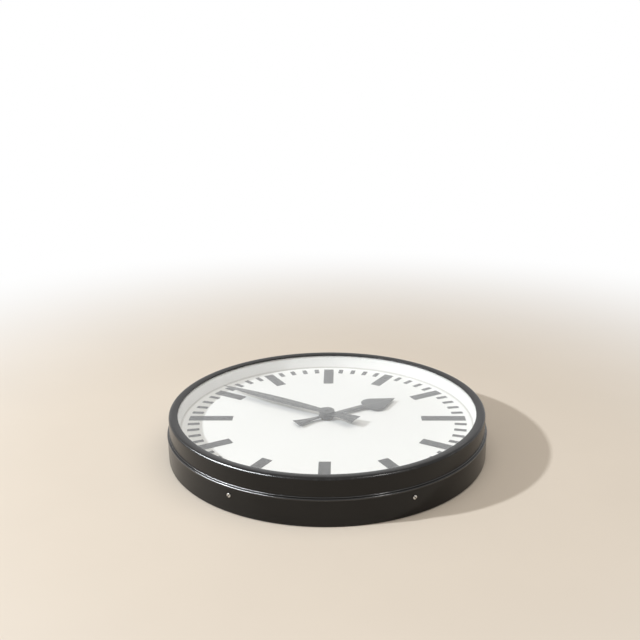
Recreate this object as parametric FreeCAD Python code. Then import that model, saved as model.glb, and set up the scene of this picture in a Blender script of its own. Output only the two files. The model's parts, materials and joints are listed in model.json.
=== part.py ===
import FreeCAD, Part
import math
import os

# Station slave clock: spun two-part case, glazed dial, two hands and an impulse movement.
# Millimetres. +Z leaves the dial, +Y points to 12 o'clock, the origin is on the hand axis
# at the back of the case. Angles named "_clock" run clockwise from 12 o'clock.

os.makedirs("parts", exist_ok=True)

# Rear case
case_radius = 316.5
case_sheet = 1.5
case_height = 52.5
back_corner = 3.0
bead_radius = 2.2
bead_proud = 0.8

# Front ring
ring_gap = 0.2
ring_crown = 89.2
ring_corner = 5.0
ring_fall = 1.7
ring_bead_radius = 1.4
ring_overlap = 28.5
ring_face = 17.7

# Side screws that hold the front ring in the rear case
side_screw_count = 6
side_screw_drop = 17.4
side_screw_first = -0.9
screw_radius = 2.0
screw_clearance = 0.2
screw_head_radius = 4.0
screw_head_height = 2.4
screw_head_round = 1.2
screw_slot_width = 1.1
screw_slot_depth = 1.0
screw_tail = 1.0
spacer_radius = 6.0
seat_gap = 0.1
nut_width = 8.0
nut_height = 3.2
thread_gap = 0.05

# Glazing
glass_thickness = 4.0
glass_margin = 10.0
gasket_depth = 0.8
gasket_inset = 1.0
clip_sheet = 1.5
clip_width = 14.0
clip_leg = 13.0
clip_bite = 5.7
clip_count = 6

# Dial
dial_recess = 26.9
dial_thickness = 2.0
dial_ring_lean = 4.0
dial_edge = 9.0
dial_hole_radius = 12.0
dial_ring_sheet = 1.2
dial_ring_inset = 0.8
dial_ring_flange = 8.0
marker_margin = 13.0
marker_depth = 0.3
quarter_marker_length = 88.0
hour_marker_length = 70.0
hour_marker_width = 22.0
minute_marker_length = 23.5
minute_marker_width = 10.0
pillar_count = 6
pillar_radius = 4.0
pillar_foot_radius = 2.5
foot_gap = 0.05
dial_screw_radius = 1.5
dial_screw_head = 3.0
dial_screw_depth = 12.0

# Hands
hand_sheet = 1.0
hand_fold_degrees = 3.0
hub_radius = 16.0
hour_hand_clock = 58.0
hour_hand_rise = 7.2
hour_tip_gap = 22.5
hour_tail = 70.0
hour_tail_half = 15.0
hour_hub_half = 5.2
hour_waist_half = 6.5
hour_waist_along = 38.0
hour_lobe_radius = 22.0
hour_lobe_back = 53.5
hour_lobe_across = 8.0
hour_collet_radius = 8.0
hour_collet_cap = 1.0
hour_collet_length = 6.7
hour_cap_radius = 10.0
minute_hand_clock = 302.1
minute_hand_rise = 15.4
minute_tip_gap = 8.0
minute_tail = 69.0
minute_tail_half = 16.5
minute_hub_half = 6.5
minute_belly_half = 12.5
minute_belly_back = 145.0
minute_collet_radius = 6.5
minute_collet_cap = 2.6
minute_collet_length = 6.7
minute_cap_radius = 15.5
hand_nut_radius = 4.5
hand_nut_height = 1.4
hand_nut_round = 0.7
hand_nut_depth = 0.8

# Back of the case: keyhole hanger, wall fixings and cable inlet
hanger_inset = 108.5
hanger_width = 90.0
hanger_length = 70.0
hanger_thickness = 3.0
hanger_rivet_inset = 9.0
rivet_radius = 2.5
rivet_head_radius = 4.5
rivet_head_height = 2.0
rivet_head_round = 1.6
keyhole_radius = 7.0
keyhole_slot_radius = 4.0
keyhole_drop = 8.0
keyhole_rise = 10.0
keyhole_margin = 1.5
fixing_spacing = 300.0
fixing_along = -180.0
fixing_radius = 3.0
inlet_along = -165.0
inlet_radius = 5.0
inlet_wall = 4.0
inlet_flange = 3.0
inlet_flange_height = 2.5

# Movement frame
motion_space = 13.0
plate_thickness = 2.0
plate_space = 20.0
plate_left = 92.0
plate_right = 42.0
plate_top = 34.0
plate_coil_gap = 6.8
plate_corner = 6.0
plate_inset = 7.0
frame_pillar_radius = 3.5
frame_post_radius = 4.5
frame_screw_length = 6.0
frame_screw_head = 3.4
frame_screw_head_height = 2.0
bush_wall = 2.5
running_gap = 0.05
end_shake = 0.2

# Gears
train_module = 1.0
tooth_play = 0.22
tooth_tip_share = 0.45
tooth_addendum = 0.75
tooth_dedendum = 1.15
centre_teeth = 50
inter_pinion_teeth = 10
inter_teeth = 36
rotor_pinion_teeth = 12
cannon_teeth = 12
minute_teeth = 36
minute_pinion_teeth = 12
hour_teeth = 48
inter_clock = 270.0
rotor_clock = 225.0
stud_clock = 90.0
wheel_thickness = 2.5
wheel_rise = 2.0
level_step = 4.0
pinion_margin = 0.5
collar_wall = 1.5
centre_arbor_radius = 2.5
inter_arbor_radius = 2.0
rotor_arbor_radius = 1.5
arbor_end = 1.0

# Motion work under the dial
cannon_wall = 2.0
cannon_rise = 1.0
cannon_length = 5.0
minute_wheel_rise = 2.0
minute_wheel_thickness = 3.0
minute_pinion_length = 6.2
hour_wheel_thickness = 2.5
pipe_wall = 1.4
stud_radius = 2.0
stud_shoulder = 1.5
stud_clip_radius = 3.2
stud_clip_thickness = 0.6

# Motor
magnet_radius = 9.0
magnet_height = 7.0
magnet_rise = 10.5
air_gap = 1.5
yoke_width = 56.0
yoke_leg = 11.0
yoke_top = 13.0
yoke_drop = 52.0
yoke_window_top = 15.0
yoke_slit = 4.0
yoke_screw_drop = 20.0
yoke_screw_head_height = 2.0
core_height = 10.0
bobbin_wall = 1.0
bobbin_flange = 1.5
bobbin_gap = 0.2
winding_depth = 5.0

# Terminal block
terminal_along = -125.0
terminal_width = 44.0
terminal_depth = 18.0
terminal_height = 12.0
terminal_pitch = 16.0
terminal_groove = 3.0
terminal_screw_radius = 2.6
terminal_screw_height = 1.6
terminal_screw_shank = 1.5
terminal_screw_length = 6.0

# Leads from the terminal block to the coil
lead_radius = 1.0
lead_bend = 6.0
lead_start = 12.0
lead_stand_off = 14.0

# Values that follow from the sizes above
case_inner = case_radius - case_sheet
bead_ring = case_radius + bead_proud - bead_radius
bead_height = case_height - bead_radius
ring_radius = bead_ring - bead_radius - ring_gap
ring_inner = ring_radius - case_sheet
ring_foot = case_height - ring_overlap
bead_reach = bead_radius + ring_bead_radius + seat_gap
ring_bead_height = bead_height + math.sqrt(bead_reach ** 2 - (bead_ring - ring_radius) ** 2)
crown_radius = ring_radius - ring_corner
sight_radius = ring_radius - ring_face
side_screw_height = case_height - side_screw_drop
glass_radius = sight_radius + glass_margin
glass_top = ring_crown - ring_fall - case_sheet - gasket_depth
glass_foot = glass_top - glass_thickness
dial_height = glass_foot - dial_recess
dial_sight_radius = sight_radius - dial_ring_lean
dial_radius = dial_sight_radius + dial_edge
marker_outer_radius = dial_sight_radius - marker_margin
dial_under = dial_height - dial_thickness
dial_ring_top = sight_radius + dial_ring_inset
pillar_ring = dial_sight_radius + dial_edge / 2
front_plate_top = dial_under - motion_space
front_plate_foot = front_plate_top - plate_thickness
back_plate_top = front_plate_foot - plate_space
back_plate_foot = back_plate_top - plate_thickness
first_level = back_plate_top + wheel_rise
second_level = first_level + level_step
magnet_foot = back_plate_top + magnet_rise
magnet_head = magnet_foot + magnet_height
cannon_radius = centre_arbor_radius + cannon_wall
cannon_foot = front_plate_top + cannon_rise
cannon_head = cannon_foot + cannon_length
pipe_inner = cannon_radius + running_gap
pipe_radius = pipe_inner + pipe_wall
hand_fold = math.tan(math.radians(hand_fold_degrees))
hour_ridge = dial_height + hour_hand_rise
minute_ridge = dial_height + minute_hand_rise
hand_cap_top = minute_ridge + minute_collet_cap
hanger_along = case_radius - hanger_inset
inlet_seat = inlet_radius + inlet_wall
hour_tip = marker_outer_radius - quarter_marker_length - hour_tip_gap
hour_lobe_along = hour_tip - hour_lobe_back
minute_tip = marker_outer_radius - minute_tip_gap
minute_belly_along = minute_tip - minute_belly_back


def clock_point(radius, clock, start=(0.0, 0.0)):
    turn = math.radians(90.0 - clock)
    return start[0] + radius * math.cos(turn), start[1] + radius * math.sin(turn)


half_turn = 180.0
centre_at = (0.0, 0.0)
inter_distance = train_module * (centre_teeth + inter_pinion_teeth) / 2
rotor_distance = train_module * (inter_teeth + rotor_pinion_teeth) / 2
stud_distance = train_module * (cannon_teeth + minute_teeth) / 2
hour_module = 2 * stud_distance / (minute_pinion_teeth + hour_teeth)
inter_at = clock_point(inter_distance, inter_clock)
rotor_at = clock_point(rotor_distance, rotor_clock, inter_at)
stud_at = clock_point(stud_distance, stud_clock)
coil_spread = bobbin_gap + bobbin_wall + winding_depth
core_low = rotor_at[1] - yoke_drop
plate_bottom = -(core_low + core_height + coil_spread + plate_coil_gap)


def save(name, shape):
    shape.exportStep("parts/" + name + ".step")


def rod(radius, low, high, at=(0.0, 0.0)):
    return Part.makeCylinder(radius, high - low, FreeCAD.Vector(at[0], at[1], low))


def tube(radius, bore, low, high, at=(0.0, 0.0)):
    return rod(radius, low, high, at).cut(rod(bore, low, high, at))


def block(x_span, y_span, z_span):
    size = [span[1] - span[0] for span in (x_span, y_span, z_span)]
    return Part.makeBox(*size, FreeCAD.Vector(x_span[0], y_span[0], z_span[0]))


def fused(shapes):
    return shapes[0].multiFuse(shapes[1:]).removeSplitter()


def around(shape, count, first=0.0):
    copies = []
    for index in range(count):
        copy = shape.copy()
        copy.rotate(FreeCAD.Vector(), FreeCAD.Vector(0, 0, 1), first + index * 360.0 / count)
        copies.append(copy)
    return Part.makeCompound(copies)


def section_line(start, end):
    return Part.makeLine(FreeCAD.Vector(start[0], 0, start[1]), FreeCAD.Vector(end[0], 0, end[1]))


def section_bend(start, end, centre):
    radius = math.dist(start, centre)
    turn = math.atan2(start[1] + end[1] - 2 * centre[1], start[0] + end[0] - 2 * centre[0])
    middle = (centre[0] + radius * math.cos(turn), centre[1] + radius * math.sin(turn))
    points = [FreeCAD.Vector(x, 0, z) for x, z in (start, middle, end)]
    return Part.Arc(*points).toShape()


def spun(edges):
    face = Part.Face(Part.Wire(edges))
    return face.revolve(FreeCAD.Vector(), FreeCAD.Vector(0, 0, 1), 360)


def spun_polygon(points):
    return spun([section_line(a, b) for a, b in zip(points, points[1:] + points[:1])])


# Case


def keyhole(radius, slot_radius, low, high):
    entry = hanger_along - keyhole_drop
    end = hanger_along + keyhole_rise
    slot = block((-slot_radius, slot_radius), (entry, end), (low, high))
    return fused([rod(radius, low, high, (0, entry)), slot, rod(slot_radius, low, high, (0, end))])


def frame_corners():
    left = plate_inset - plate_left
    right = plate_right - plate_inset
    low = plate_inset - plate_bottom
    high = plate_top - plate_inset
    return [(left, low), (right, low), (right, high), (left, high)]


def rivet_places():
    side = hanger_width / 2 - hanger_rivet_inset
    step = hanger_length / 2 - hanger_rivet_inset
    return [(x, hanger_along + y) for x in (-side, side) for y in (-step, step)]


def pillar_places():
    return [clock_point(pillar_ring, index * 360.0 / pillar_count) for index in range(pillar_count)]


def radial_rod(radius, inner, outer, height):
    return Part.makeCylinder(
        radius, outer - inner, FreeCAD.Vector(inner, 0, height), FreeCAD.Vector(1, 0, 0))


def rear_case():
    wall_foot = case_radius - back_corner
    outer_bend = section_bend((wall_foot, 0), (case_radius, back_corner), (wall_foot, back_corner))
    inner_bend = section_bend((case_inner, back_corner), (wall_foot, case_sheet), (wall_foot, back_corner))
    pan = spun([
        section_line((0, 0), (wall_foot, 0)),
        outer_bend,
        section_line((case_radius, back_corner), (case_radius, bead_height)),
        section_line((case_radius, bead_height), (case_inner, bead_height)),
        section_line((case_inner, bead_height), (case_inner, back_corner)),
        inner_bend,
        section_line((wall_foot, case_sheet), (0, case_sheet)),
        section_line((0, case_sheet), (0, 0)),
    ])
    bead = Part.makeTorus(bead_ring, bead_radius, FreeCAD.Vector(0, 0, bead_height))
    holes = [keyhole(keyhole_radius + keyhole_margin, keyhole_slot_radius + keyhole_margin, 0, case_sheet)]
    holes.append(rod(inlet_seat, 0, case_sheet, (0, inlet_along)))
    foot_places = frame_corners() + pillar_places()
    holes += [rod(pillar_foot_radius + foot_gap, 0, case_sheet, at) for at in foot_places]
    holes += [rod(rivet_radius + foot_gap, 0, case_sheet, at) for at in rivet_places()]
    for side in (-1, 1):
        holes.append(rod(fixing_radius, 0, case_sheet, (side * fixing_spacing / 2, fixing_along)))
    hole_radius = screw_radius + screw_clearance
    screw_hole = radial_rod(hole_radius, ring_radius, case_radius + bead_proud, side_screw_height)
    return pan.fuse(bead).cut(holes).cut(around(screw_hole, side_screw_count, side_screw_first))


def front_ring():
    bend_centre = (crown_radius, ring_crown - ring_corner)
    lip_top = ring_crown - ring_fall
    ring = spun([
        section_line((ring_radius, ring_foot), (ring_radius, bend_centre[1])),
        section_bend((ring_radius, bend_centre[1]), (crown_radius, ring_crown), bend_centre),
        section_line((crown_radius, ring_crown), (sight_radius, lip_top)),
        section_line((sight_radius, lip_top), (sight_radius, lip_top - case_sheet)),
        section_line((sight_radius, lip_top - case_sheet), (crown_radius, ring_crown - case_sheet)),
        section_bend((crown_radius, ring_crown - case_sheet), (ring_inner, bend_centre[1]), bend_centre),
        section_line((ring_inner, bend_centre[1]), (ring_inner, ring_foot)),
        section_line((ring_inner, ring_foot), (ring_radius, ring_foot)),
    ])
    bead = Part.makeTorus(ring_radius, ring_bead_radius, FreeCAD.Vector(0, 0, ring_bead_height))
    hole = radial_rod(screw_radius + screw_clearance, ring_inner - case_sheet, case_inner, side_screw_height)
    return ring.fuse(bead).cut(around(hole, side_screw_count, side_screw_first))


def nut_face():
    return math.sqrt(ring_inner ** 2 - (nut_width / 2) ** 2) - seat_gap


def side_screw():
    head = radial_rod(screw_head_radius, case_radius, case_radius + screw_head_height, side_screw_height)
    rim = [edge for edge in head.Edges if edge.BoundBox.XMin > case_radius + screw_head_height - seat_gap]
    head = head.makeFillet(screw_head_round, rim)
    slot_x = (case_radius + screw_head_height - screw_slot_depth, case_radius + 2 * screw_head_height)
    slot_y = (-2 * screw_head_radius, 2 * screw_head_radius)
    slot_z = (side_screw_height - screw_slot_width / 2, side_screw_height + screw_slot_width / 2)
    shank = radial_rod(screw_radius, nut_face() - nut_height - screw_tail, case_radius, side_screw_height)
    return head.cut(block(slot_x, slot_y, slot_z)).fuse(shank).removeSplitter()


def side_spacer():
    inner = ring_radius + seat_gap
    outer = math.sqrt(case_inner ** 2 - spacer_radius ** 2) - seat_gap
    hole = radial_rod(screw_radius + screw_clearance, inner, outer, side_screw_height)
    return radial_rod(spacer_radius, inner, outer, side_screw_height).cut(hole)


def side_nut():
    face = nut_face()
    half = nut_width / 2
    z_span = (side_screw_height - half, side_screw_height + half)
    body = block((face - nut_height, face), (-half, half), z_span)
    return body.cut(radial_rod(screw_radius + thread_gap, face - nut_height, face, side_screw_height))


def hanger_plate():
    low, high = case_sheet, case_sheet + hanger_thickness
    plate = block(
        (-hanger_width / 2, hanger_width / 2),
        (hanger_along - hanger_length / 2, hanger_along + hanger_length / 2),
        (low, high))
    holes = [rod(rivet_radius + foot_gap, low, high, at) for at in rivet_places()]
    holes.append(keyhole(keyhole_radius, keyhole_slot_radius, low, high))
    return plate.cut(holes)


def hanger_rivet(at):
    seat = case_sheet + hanger_thickness
    head = rod(rivet_head_radius, seat, seat + rivet_head_height, at)
    rim = [edge for edge in head.Edges if edge.BoundBox.ZMin > seat + rivet_head_height - seat_gap]
    head = head.makeFillet(rivet_head_round, rim)
    return head.fuse(rod(rivet_radius, 0, seat, at)).removeSplitter()


def cable_inlet():
    at = (0, inlet_along)
    sleeve = rod(inlet_seat, 0, case_sheet, at)
    flange = rod(inlet_seat + inlet_flange, case_sheet, case_sheet + inlet_flange_height, at)
    return sleeve.fuse(flange).removeSplitter().cut(rod(inlet_radius, 0, case_sheet + inlet_flange_height, at))


# Glazing and dial


def flange_underside(radius):
    share = (crown_radius - radius) / (crown_radius - sight_radius)
    return ring_crown - case_sheet - ring_fall * share


def glass_gasket():
    inner = sight_radius + gasket_inset
    return spun_polygon([
        (inner, glass_top), (glass_radius, glass_top),
        (glass_radius, flange_underside(glass_radius)), (inner, flange_underside(inner)),
    ])


def dial_ring():
    flange_foot = glass_foot - dial_ring_sheet
    flange_edge = dial_ring_top + dial_ring_flange
    foot_top = dial_height + dial_ring_sheet
    return spun_polygon([
        (dial_sight_radius, dial_height), (dial_radius, dial_height), (dial_radius, foot_top),
        (dial_sight_radius + dial_ring_sheet, foot_top), (dial_ring_top + dial_ring_sheet, flange_foot),
        (flange_edge, flange_foot), (flange_edge, glass_foot), (dial_ring_top, glass_foot),
    ])


def glass_clip():
    top = glass_foot - dial_ring_sheet
    half = clip_width / 2
    wall = math.sqrt(ring_inner ** 2 - half ** 2) - seat_gap
    shelf_edge = dial_ring_top + dial_ring_flange - clip_bite
    shelf = block((shelf_edge, wall), (-half, half), (top - clip_sheet, top))
    leg = block((wall - clip_sheet, wall), (-half, half), (top - clip_leg, top))
    return shelf.fuse(leg).removeSplitter()


def dial_screw_cone(at):
    taper = dial_screw_head - dial_screw_radius
    return Part.makeCone(
        dial_screw_radius, dial_screw_head, taper, FreeCAD.Vector(at[0], at[1], dial_height - taper))


def dial_plate():
    disc = tube(dial_radius, dial_hole_radius, dial_under, dial_height)
    holes = []
    for at in pillar_places():
        holes += [dial_screw_cone(at), rod(dial_screw_radius, dial_under, dial_height, at)]
    return disc.cut(holes)


def dial_screw(at):
    low = dial_under - dial_screw_depth
    shank = rod(dial_screw_radius, low, dial_height - dial_thickness / 2, at)
    return dial_screw_cone(at).fuse(shank).removeSplitter()


def dial_pillar(at):
    stem = rod(pillar_radius, case_sheet, dial_under, at)
    foot = rod(pillar_foot_radius, 0, case_sheet, at)
    hole = rod(dial_screw_radius + thread_gap, dial_under - dial_screw_depth, dial_under, at)
    return stem.fuse(foot).removeSplitter().cut(hole)


def marker(length, width):
    return block(
        (-width / 2, width / 2), (marker_outer_radius - length, marker_outer_radius),
        (dial_height, dial_height + marker_depth))


def hour_markers():
    groups = [around(marker(quarter_marker_length, hour_marker_width), 4)]
    groups += [around(marker(hour_marker_length, hour_marker_width), 4, -30.0 * step) for step in (1, 2)]
    return Part.makeCompound([solid for group in groups for solid in group.Solids])


def minute_markers():
    tick = marker(minute_marker_length, minute_marker_width)
    groups = [around(tick, 12, -6.0 * step) for step in range(1, 5)]
    return Part.makeCompound([solid for group in groups for solid in group.Solids])


# Hands, drawn pointing to 12 o'clock and then turned


def flat_line(start, end):
    return Part.makeLine(FreeCAD.Vector(*start, 0), FreeCAD.Vector(*end, 0))


def flat_arc(start, middle, end):
    return Part.Arc(*[FreeCAD.Vector(*point, 0) for point in (start, middle, end)]).toShape()


def hand_face(right_edges):
    left_edges = [edge.mirror(FreeCAD.Vector(), FreeCAD.Vector(1, 0, 0)) for edge in right_edges]
    face = Part.Face(Part.Wire(Part.__sortEdges__(right_edges + left_edges)))
    hub = Part.Face(Part.Wire(Part.makeCircle(hub_radius)))
    return face.fuse(hub).removeSplitter().Faces[0]


def folded_blade(face, half_width, ridge, hole_radius, clock):
    box = face.BoundBox
    edge_fall = half_width * hand_fold
    roof = [(0, ridge), (half_width, ridge - edge_fall), (half_width, ridge - edge_fall - hand_sheet),
            (0, ridge - hand_sheet), (-half_width, ridge - edge_fall - hand_sheet),
            (-half_width, ridge - edge_fall)]
    corners = [FreeCAD.Vector(x, box.YMin, z) for x, z in roof + roof[:1]]
    sheet = Part.Face(Part.makePolygon(corners)).extrude(FreeCAD.Vector(0, box.YLength, 0))
    low = ridge - edge_fall - hand_sheet
    outline = face.copy()
    outline.translate(FreeCAD.Vector(0, 0, low))
    blade = outline.extrude(FreeCAD.Vector(0, 0, ridge - low)).common(sheet)
    blade = blade.cut(rod(hole_radius, low, ridge))
    blade.rotate(FreeCAD.Vector(), FreeCAD.Vector(0, 0, 1), -clock)
    return blade


def hour_hand():
    lobe = (hour_lobe_across, hour_lobe_along)
    reach = math.dist(lobe, (0, hour_tip))
    tip_turn = math.atan2(hour_tip - lobe[1], -lobe[0])
    edge_turn = tip_turn - math.acos(hour_lobe_radius / reach)
    middle_turn = (edge_turn - math.pi / 2) / 2

    def on_lobe(turn):
        return lobe[0] + hour_lobe_radius * math.cos(turn), lobe[1] + hour_lobe_radius * math.sin(turn)

    neck = on_lobe(-math.pi / 2)
    shoulder = on_lobe(edge_turn)
    face = hand_face([
        flat_line((0, -hour_tail), (hour_tail_half, -hour_tail)),
        flat_arc((hour_tail_half, -hour_tail), (hour_waist_half, -hour_waist_along), (hour_hub_half, 0)),
        flat_line((hour_hub_half, 0), neck),
        flat_arc(neck, on_lobe(middle_turn), shoulder),
        flat_line(shoulder, (0, hour_tip)),
    ])
    half_width = max(hour_lobe_across + hour_lobe_radius, hour_tail_half, hub_radius)
    return folded_blade(face, half_width + hand_sheet, hour_ridge, hour_collet_radius, hour_hand_clock)


def minute_hand():
    face = hand_face([
        flat_line((0, -minute_tail), (minute_tail_half, -minute_tail)),
        flat_line((minute_tail_half, -minute_tail), (minute_hub_half, 0)),
        flat_arc((minute_hub_half, 0), (minute_belly_half, minute_belly_along), (0, minute_tip)),
    ])
    half_width = max(minute_tail_half, minute_belly_half, hub_radius)
    return folded_blade(face, half_width + hand_sheet, minute_ridge, minute_collet_radius, minute_hand_clock)


def hour_collet():
    foot = hour_ridge - hour_collet_length
    sleeve = rod(hour_collet_radius, foot, hour_ridge)
    cap = rod(hour_cap_radius, hour_ridge, hour_ridge + hour_collet_cap)
    return sleeve.fuse(cap).removeSplitter().cut(rod(pipe_radius, foot, hour_ridge + hour_collet_cap))


def minute_collet():
    foot = minute_ridge - minute_collet_length
    sleeve = tube(minute_collet_radius, cannon_radius, foot, minute_ridge)
    cap = tube(minute_cap_radius, centre_arbor_radius, minute_ridge, hand_cap_top)
    return sleeve.fuse(cap).removeSplitter()


def hand_nut():
    nut = rod(hand_nut_radius, hand_cap_top, hand_cap_top + hand_nut_height)
    rim = [edge for edge in nut.Edges if edge.BoundBox.ZMin > hand_cap_top + seat_gap]
    rim = [edge for edge in rim if edge.BoundBox.ZLength < seat_gap]
    nut = nut.makeFillet(hand_nut_round, rim)
    return nut.cut(rod(centre_arbor_radius, hand_cap_top, hand_cap_top + hand_nut_depth))


# Gears


def toothed(teeth, module, low, high, at, tooth_clock):
    pitch_radius = teeth * module / 2
    root = pitch_radius - tooth_dedendum * module
    tip = pitch_radius + tooth_addendum * module
    half = (1 - tooth_play) * math.pi / (2 * teeth)
    flank = [(root, -half), (pitch_radius, -half), (tip, -half * tooth_tip_share)]
    flank += [(radius, -turn) for radius, turn in reversed(flank)]
    start = math.radians(90.0 - tooth_clock)
    points = []
    for index in range(teeth):
        middle = start + index * 2 * math.pi / teeth
        for radius, turn in flank:
            x = at[0] + radius * math.cos(middle + turn)
            y = at[1] + radius * math.sin(middle + turn)
            points.append(FreeCAD.Vector(x, y, low))
    face = Part.Face(Part.makePolygon(points + points[:1]))
    return face.extrude(FreeCAD.Vector(0, 0, high - low))


def gap_clock(clock, teeth):
    return clock + half_turn + half_turn / teeth


def centre_wheel():
    top = first_level + wheel_thickness
    wheel = toothed(centre_teeth, train_module, first_level, top, centre_at, inter_clock)
    return wheel.cut(rod(centre_arbor_radius, first_level, top))


def centre_arbor():
    low = back_plate_foot - arbor_end
    high = hand_cap_top + hand_nut_depth
    collar = centre_arbor_radius + collar_wall
    return fused([
        rod(centre_arbor_radius, low, high),
        rod(collar, back_plate_top + end_shake, first_level),
        rod(collar, front_plate_foot - end_shake - wheel_thickness, front_plate_foot - end_shake),
    ])


def inter_arbor():
    collar = inter_arbor_radius + collar_wall
    leaf_top = first_level + wheel_thickness + pinion_margin
    leaves = toothed(
        inter_pinion_teeth, train_module, first_level - pinion_margin, leaf_top, inter_at,
        gap_clock(inter_clock, inter_pinion_teeth))
    return fused([
        rod(inter_arbor_radius, back_plate_foot - arbor_end, front_plate_top + arbor_end, inter_at),
        rod(collar, back_plate_top + end_shake, second_level, inter_at),
        leaves,
        rod(collar, front_plate_foot - end_shake - wheel_thickness, front_plate_foot - end_shake, inter_at),
    ])


def inter_wheel():
    top = second_level + wheel_thickness
    wheel = toothed(inter_teeth, train_module, second_level, top, inter_at, rotor_clock)
    return wheel.cut(rod(inter_arbor_radius, second_level, top, inter_at))


def rotor_arbor():
    collar = rotor_arbor_radius + collar_wall / 2
    leaves = toothed(
        rotor_pinion_teeth, train_module, second_level - pinion_margin,
        second_level + wheel_thickness + pinion_margin, rotor_at, gap_clock(rotor_clock, rotor_pinion_teeth))
    return fused([
        rod(rotor_arbor_radius, back_plate_foot - arbor_end, front_plate_top + arbor_end, rotor_at),
        rod(collar, back_plate_top + end_shake, magnet_foot, rotor_at),
        leaves,
        rod(collar, magnet_head, front_plate_foot - end_shake, rotor_at),
    ])


def rotor_magnet():
    return tube(magnet_radius, rotor_arbor_radius, magnet_foot, magnet_head, rotor_at)


def cannon_pinion():
    foot = front_plate_top + end_shake
    top = minute_ridge
    leaves = toothed(cannon_teeth, train_module, cannon_foot, cannon_head, centre_at, stud_clock)
    body = fused([rod(cannon_radius, foot, top), leaves])
    return body.cut(rod(centre_arbor_radius, foot, top))


def minute_wheel():
    foot = front_plate_top + stud_shoulder + end_shake
    wheel_foot = front_plate_top + minute_wheel_rise
    wheel_top = wheel_foot + minute_wheel_thickness
    top = wheel_top + minute_pinion_length
    wheel = toothed(
        minute_teeth, train_module, wheel_foot, wheel_top, stud_at, gap_clock(stud_clock, minute_teeth))
    leaves = toothed(minute_pinion_teeth, hour_module, wheel_top, top, stud_at, stud_clock + half_turn)
    hub = rod(stud_radius + collar_wall, foot, wheel_foot, stud_at)
    return fused([hub, wheel, leaves]).cut(rod(stud_radius + running_gap, foot, top, stud_at))


def stud_seat():
    return front_plate_top + minute_wheel_rise + minute_wheel_thickness + minute_pinion_length + end_shake


def minute_stud():
    shoulder = rod(stud_radius + collar_wall, front_plate_top, front_plate_top + stud_shoulder, stud_at)
    pin = rod(stud_radius, front_plate_foot, stud_seat() + stud_clip_thickness, stud_at)
    return shoulder.fuse(pin).removeSplitter()


def stud_clip():
    return tube(stud_clip_radius, stud_radius, stud_seat(), stud_seat() + stud_clip_thickness, stud_at)


def hour_wheel():
    foot = cannon_head + end_shake
    wheel_foot = foot + pinion_margin
    top = wheel_foot + hour_wheel_thickness
    wheel = toothed(hour_teeth, hour_module, wheel_foot, top, centre_at, stud_clock + half_turn / hour_teeth)
    pipe_top = hour_ridge + hour_collet_cap
    return fused([rod(pipe_radius, foot, pipe_top), wheel]).cut(rod(pipe_inner, foot, pipe_top))


# Movement frame


def bush_places():
    return [(centre_at, centre_arbor_radius), (inter_at, inter_arbor_radius), (rotor_at, rotor_arbor_radius)]


def plate_outline(low, high):
    plate = block((-plate_left, plate_right), (-plate_bottom, plate_top), (low, high))
    upright = [edge for edge in plate.Edges if edge.BoundBox.ZLength > plate_thickness / 2]
    return plate.makeFillet(plate_corner, upright)


def bushes(low, high):
    rings = [tube(radius + running_gap + bush_wall, radius + running_gap, low, high, at)
             for at, radius in bush_places()]
    return Part.makeCompound(rings)


def bush_holes(low, high):
    return [rod(radius + running_gap + bush_wall, low, high, at) for at, radius in bush_places()]


def back_plate():
    holes = bush_holes(back_plate_foot, back_plate_top)
    for at in frame_corners():
        holes.append(rod(screw_radius + thread_gap, back_plate_foot, back_plate_top, at))
    return plate_outline(back_plate_foot, back_plate_top).cut(holes)


def front_plate():
    holes = bush_holes(front_plate_foot, front_plate_top)
    for at in frame_corners():
        holes.append(rod(screw_radius + thread_gap, front_plate_foot, front_plate_top, at))
    for at in yoke_screw_places():
        holes.append(rod(dial_screw_radius + thread_gap, front_plate_foot, front_plate_top, at))
    holes.append(rod(stud_radius, front_plate_foot, front_plate_top, stud_at))
    return plate_outline(front_plate_foot, front_plate_top).cut(holes)


def frame_pillar(at):
    pillar = rod(frame_pillar_radius, back_plate_top, front_plate_foot, at)
    low_hole = rod(screw_radius + thread_gap, back_plate_top, back_plate_top + frame_screw_length, at)
    high_hole = rod(screw_radius + thread_gap, front_plate_foot - frame_screw_length, front_plate_foot, at)
    return pillar.cut([low_hole, high_hole])


def frame_post(at):
    return fused([
        rod(pillar_foot_radius, 0, case_sheet, at),
        rod(frame_post_radius, case_sheet, back_plate_foot, at),
        rod(screw_radius, back_plate_foot, back_plate_top + frame_screw_length, at),
    ])


def frame_screw(at):
    head = rod(frame_screw_head, front_plate_top, front_plate_top + frame_screw_head_height, at)
    shank = rod(screw_radius, front_plate_foot - frame_screw_length, front_plate_top, at)
    return head.fuse(shank).removeSplitter()


# Motor


def yoke_screw_places():
    side = (yoke_width - yoke_leg) / 2
    return [(rotor_at[0] + step * side, rotor_at[1] - yoke_screw_drop) for step in (-1, 1)]


def stator_yoke():
    half = yoke_width / 2
    window = half - yoke_leg
    z_span = (magnet_foot, magnet_head)
    outer = block((rotor_at[0] - half, rotor_at[0] + half), (core_low, rotor_at[1] + yoke_top), z_span)
    opening = block(
        (rotor_at[0] - window, rotor_at[0] + window),
        (core_low + core_height, rotor_at[1] - yoke_window_top), z_span)
    slit = block(
        (rotor_at[0] - yoke_slit / 2, rotor_at[0] + yoke_slit / 2),
        (rotor_at[1] - yoke_window_top, rotor_at[1] + yoke_top), z_span)
    holes = [opening, slit, rod(magnet_radius + air_gap, *z_span, rotor_at)]
    holes += [rod(dial_screw_radius + thread_gap, *z_span, at) for at in yoke_screw_places()]
    return outer.cut(holes)


def yoke_spacer(at):
    return tube(frame_pillar_radius, dial_screw_radius + thread_gap, magnet_head, front_plate_foot, at)


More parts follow.
